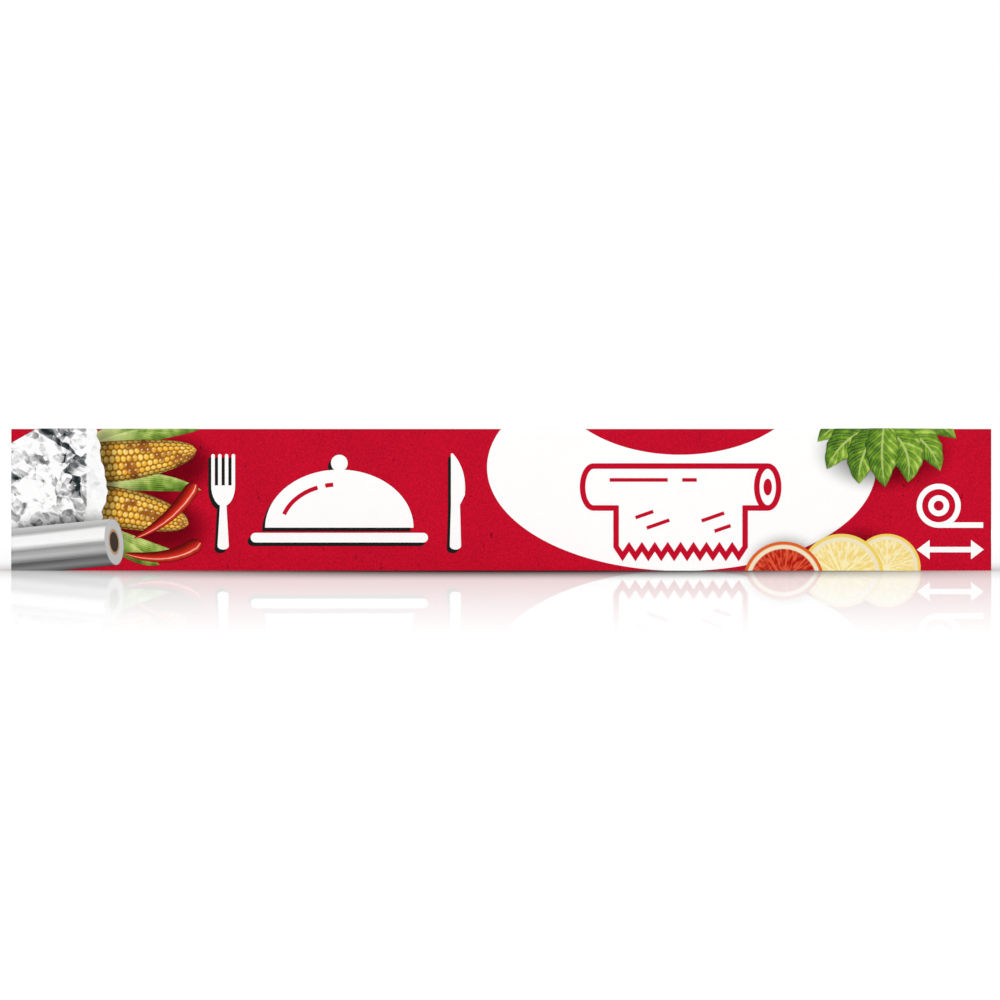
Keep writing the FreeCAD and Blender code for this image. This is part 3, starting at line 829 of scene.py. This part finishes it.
def left_picture(inks):
    """Grilled corn in a sleeve of crinkled foil, with husks and chillies, behind a foil roll."""
    shadow("corn_shadow_print", 1, [((-104, 32), (19, 12), 10), ((-107, 15), (20, 12), -12)], inks["shadow"])
    husk_leaves(inks)
    corn_cobs(inks)
    shadow("sleeve_shadow_print", 4, [((-124, 28), (6.5, 21), 0)], inks["shadow"])
    chillies(inks)
    foil_sleeve(inks)
    shadow("roll_shadow_print", 6, [((-137, 10.5), (26, 9), 6)], inks["shadow"])
    foil_roll(inks)


def herb_leaves(inks):
    """A bunch of pointed leaves that hang over the top fold, each on a layer of its own."""
    def half_width(s):
        return 0.02 + width * math.sin(math.pi * s ** 0.8) ** 0.85 * (1 + 0.05 * math.sin(38 * s))
    leaves = [
        ((118, 47), (107, 50), (98, 40), 4.6),
        ((119, 46), (131, 51), (141, 41), 4.8),
        ((117, 50), (108, 58), (101, 61), 4.8),
        ((121, 50), (130, 58), (138, 60), 4.6),
        ((117, 45), (105, 42), (101, 31.5), 5.2),
        ((121, 45), (133, 42), (136, 31), 5.0),
        ((119, 48), (117, 58), (121, 66), 5.0),
        ((118, 44), (110, 36), (111, 27), 5.4),
        ((120, 44), (128, 38), (126, 27.5), 5.4),
        ((119, 47), (117, 36), (119, 26), 5.2),
    ]
    for number, (start, pull, end, width) in enumerate(leaves):
        leaf = Print(f"herb_leaf_print_{number + 1}", 2 + number * 0.6)
        leaf.ribbon(curve(start, pull, end, 30), half_width, parts=6)
        leaf.wrap(inks["leaf"])


def citrus_slices(inks):
    slices = [
        ("lemon", (119.5, 1.0), 10.5, 17),
        ("lemon", (105.5, -1.5), 13.0, 5),
        ("blood_orange", (87.5, -3.5), 12.6, 11),
    ]
    for number, (fruit, centre, radius, angle) in enumerate(slices):
        piece = Print(f"{fruit}_slice_print_{number + 1}", 2 + number)
        piece.disc(centre, (radius, radius), angle)
        piece.wrap(inks[fruit])


def right_picture(inks):
    """Herb leaves that hang over the top fold, and citrus slices along the lower edge."""
    shadow("leaf_shadow_print", 1, [((118.5, 37), (24, 14), 0)], inks["shadow"])
    shadow("citrus_shadow_print", 1, [((88, 0), (14.5, 13.0), 0), ((110, 2), (19, 13.5), 0)], inks["shadow"])
    herb_leaves(inks)
    citrus_slices(inks)


def print_carton():
    """All the print on the carton."""
    inks = {
        # Each fold value sets how dark that ink's painted shade along the folds and edges is
        "ground": ink_material("red_ground_ink", RED, grain=1.5, flecks=0.6, fold=0.12),
        "white": ink_material("white_ink", WHITE, grain=0.04, fold=0.03),
        "black": ink_material("black_ink", BLACK, grain=0.2),
        "sign_red": ink_material("red_sign_ink", RED),
        "foil_roll": ink_material("foil_roll_ink", foil_roll_ink),
        "roll_end": ink_material("roll_end_ink", roll_end_ink),
        "crinkled_foil": ink_material("crinkled_foil_ink", crinkled_foil_ink),
        "corn": ink_material("corn_ink", corn_ink),
        "husk": ink_material("husk_ink", husk_ink),
        "leaf": ink_material("leaf_ink", leaf_ink),
        "chilli": ink_material("chilli_ink", chilli_ink),
        "lemon": ink_material("lemon_ink", lemon_ink),
        "blood_orange": ink_material("blood_orange_ink", blood_orange_ink),
        "shadow": shadow_material(),
    }
    white_field(inks)
    table_sign(inks)
    roll_sign(inks)
    length_sign(inks)
    left_picture(inks)
    right_picture(inks)
    return inks


def is_cut_edge(centre, normal):
    """Whether a face of the carton's solid is a cut edge of the board. Millimetres."""
    straight, slack = 0.9, 0.05
    reach = abs(centre.x)
    on_panel_end = centre.y < FOLD_RADIUS - HALF_DEPTH and reach > PANEL_END - slack
    if on_panel_end and abs(normal.x) > straight:
        return True
    on_panel = centre.y < BOARD - HALF_DEPTH
    if on_panel:
        return normal.z < -straight and centre.z < 2 * PANEL_LIFT
    beside_flap = centre.y < PANEL_BACK + slack - HALF_DEPTH and reach > TOP_END and centre.z > FOLD_START
    if beside_flap:
        return normal.y > straight or normal.z < -straight
    on_outer_flap = reach > HALF_LENGTH - BOARD
    if on_outer_flap:
        return abs(normal.x) < 0.3 and centre.z > FOLD_RADIUS
    on_next_flap = reach > HALF_LENGTH - 2 * BOARD
    return on_next_flap and abs(normal.y) > straight


def finish_board(inks):
    """The carton's solid: printed red outside, raw along its cut edges."""
    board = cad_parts["foil_carton"]
    board.data.materials.clear()
    board.data.materials.append(inks["ground"])
    board.data.materials.append(raw_board_material())
    for face in board.data.polygons:
        face.material_index = int(is_cut_edge(face.center / MM, face.normal))


def finish_cutter():
    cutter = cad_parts["cutter_strip"]
    cutter.data.materials.clear()
    cutter.data.materials.append(cutter_material())


# The view, in millimetres: its width at the carton's front, and how far its middle is off the carton's
VIEW_WIDTH = 310.0
VIEW_SHIFT = (-0.39, -0.025)
LENS = 200.0
SENSOR = 36.0


def add_camera():
    data = bpy.data.cameras.new("camera")
    data.lens = LENS
    data.sensor_width = SENSOR
    data.clip_start, data.clip_end = 0.05, 50
    camera = bpy.data.objects.new("camera", data)
    bpy.context.collection.objects.link(camera)
    distance = LENS / SENSOR * VIEW_WIDTH
    camera.location = Vector((VIEW_SHIFT[0], -HALF_DEPTH - distance, HEIGHT / 2 + VIEW_SHIFT[1])) * MM
    camera.rotation_euler = (math.pi / 2, 0, 0)
    bpy.context.scene.camera = camera


# On the floor: how far two shades reach before and behind the carton, and how far its mirror image reaches.
# Then half the floor's width, and the low and high corners of its window under the cutter. Millimetres. Last,
# the floor's own grey and how much it mirrors next to the carton.
WIDE_SHADE = (225.0, 380.0)
CONTACT_SHADE = (60.0, 220.0)
MIRROR_REACH = 1000.0
FLOOR_REACH = 6000.0
WINDOW = ((-148.0, -21.75), (148.0, -9.8))
FLOOR_GREY = 0.82
POLISH = 0.34


def seen_ray(graph):
    """1 where the ray is seen, directly, in a mirror or through glass, and 0 where it only brings light."""
    rays = graph.node("ShaderNodeLightPath").outputs
    seen = graph.math("MAXIMUM", rays["Is Camera Ray"], rays["Is Glossy Ray"])
    return graph.math("MAXIMUM", seen, rays["Is Transmission Ray"])


def floor_material():
    """A pale gloss floor, clear from below, with a soft shade round the carton and a fading reflection."""
    material = bpy.data.materials.new("pale_floor")
    material.use_nodes = True
    graph = Graph(material.node_tree)
    graph.tree.nodes.remove(graph.tree.nodes["Principled BSDF"])
    seen = seen_ray(graph)
    place = graph.place_mm()
    x, y, _ = graph.split(place)
    out = graph.math("MAXIMUM", graph.minus(graph.math("ABSOLUTE", y), HALF_DEPTH), 0.0)
    behind = graph.smooth(y, -HALF_DEPTH, HALF_DEPTH)
    off_middle = graph.math("ABSOLUTE", x)
    dark_before = graph.smooth(off_middle, 10.0, 200.0, to_low=0.9, to_high=0.0)
    dark_behind = graph.smooth(off_middle, 60.0, 230.0, to_low=0.3, to_high=0.0)
    dark = graph.times_plus(behind, graph.minus(dark_behind, dark_before), dark_before)
    pale = 1.0
    for reach_before, reach_behind in (WIDE_SHADE, CONTACT_SHADE):
        reach = graph.times_plus(behind, reach_behind - reach_before, reach_before)
        shade = graph.times(dark, graph.smooth(out, 0.0, reach, to_low=1.0, to_high=0.0))
        pale = graph.times(pale, graph.minus(1.0, graph.times(shade, seen)))
    tone = graph.grey(pale)
    colour = graph.mix(1.0, (FLOOR_GREY,) * 3, tone, "MULTIPLY")
    matt = graph.node("ShaderNodeBsdfDiffuse", {"Color": colour}).outputs[0]
    far = graph.smooth(graph.vector("LENGTH", place), 700.0, 3000.0, to_low=0.17, to_high=0.4)
    glow = graph.times(graph.times(seen, pale), far)
    lift = graph.node("ShaderNodeEmission", {"Color": (1, 1, 1), "Strength": glow}).outputs[0]
    base = graph.node("ShaderNodeAddShader", {0: matt, 1: lift}).outputs[0]
    mirror = graph.node("ShaderNodeBsdfGlossy", {"Color": tone, "Roughness": 0.0}).outputs[0]
    fade = graph.math("POWER", graph.smooth(out, 0.0, MIRROR_REACH, to_low=1.0, to_high=0.0), 0.85)
    polish = graph.times(fade, POLISH)
    above = graph.node("ShaderNodeMixShader", {0: polish, 1: base, 2: mirror}).outputs[0]
    clear = graph.node("ShaderNodeBsdfTransparent", {"Color": (1, 1, 1)}).outputs[0]
    underneath = graph.node("ShaderNodeNewGeometry").outputs["Backfacing"]
    surface = graph.node("ShaderNodeMixShader", {0: underneath, 1: above, 2: clear}).outputs[0]
    graph.feed(graph.tree.nodes["Material Output"].inputs["Surface"], surface)
    return material


def add_floor():
    """A wide square, level with the outer front panel's lower edge, so that the base is seen from below.

    The carton covers its window, which lets light up to the board between the cutter's teeth.
    """
    square = ((-FLOOR_REACH, -FLOOR_REACH), (FLOOR_REACH, FLOOR_REACH))
    corners = []
    for low, high in (square, WINDOW):
        for x, y in (low, (high[0], low[1]), high, (low[0], high[1])):
            corners.append(Vector((x, y, PANEL_LIFT)) * MM)
    data = bpy.data.meshes.new("floor")
    data.from_pydata(corners, [], [(i, (i + 1) % 4, 4 + (i + 1) % 4, 4 + i) for i in range(4)])
    data.materials.append(floor_material())
    floor = bpy.data.objects.new("floor", data)
    bpy.context.collection.objects.link(floor)


def add_lamp(name, place, power, size):
    """A large soft lamp aimed at the carton, left out of mirror images. Metres."""
    data = bpy.data.lights.new(name, "AREA")
    data.energy = power
    data.shape = "RECTANGLE"
    data.size, data.size_y = size
    lamp = bpy.data.objects.new(name, data)
    bpy.context.collection.objects.link(lamp)
    lamp.location = place
    aim = Vector((0, 0, HEIGHT / 2 * MM)) - Vector(place)
    lamp.rotation_mode = "QUATERNION"
    lamp.rotation_quaternion = aim.to_track_quat("-Z", "Y")
    lamp.visible_glossy = False


def add_light():
    """An even white studio, with soft lamps in front and behind."""
    world = bpy.data.worlds.new("studio")
    world.use_nodes = True
    bpy.context.scene.world = world
    graph = Graph(world.node_tree)
    background = world.node_tree.nodes["Background"].inputs
    background["Color"].default_value = (1, 1, 1, 1)
    lighting, seen_white = 0.78, 1.0
    graph.feed(background["Strength"], graph.smooth(seen_ray(graph), 0.0, 1.0, lighting, seen_white))
    add_lamp("front_left_lamp", (-1.3, -1.9, 1.2), 13.5, (1.4, 1.0))
    add_lamp("front_right_lamp", (1.5, -1.8, 0.9), 9.0, (1.4, 1.0))
    add_lamp("back_lamp", (0.3, 2.2, 1.0), 11.0, (1.6, 1.0))


inks = print_carton()
finish_board(inks)
finish_cutter()
add_floor()
add_light()
add_camera()
bpy.context.scene.view_settings.view_transform = "Standard"
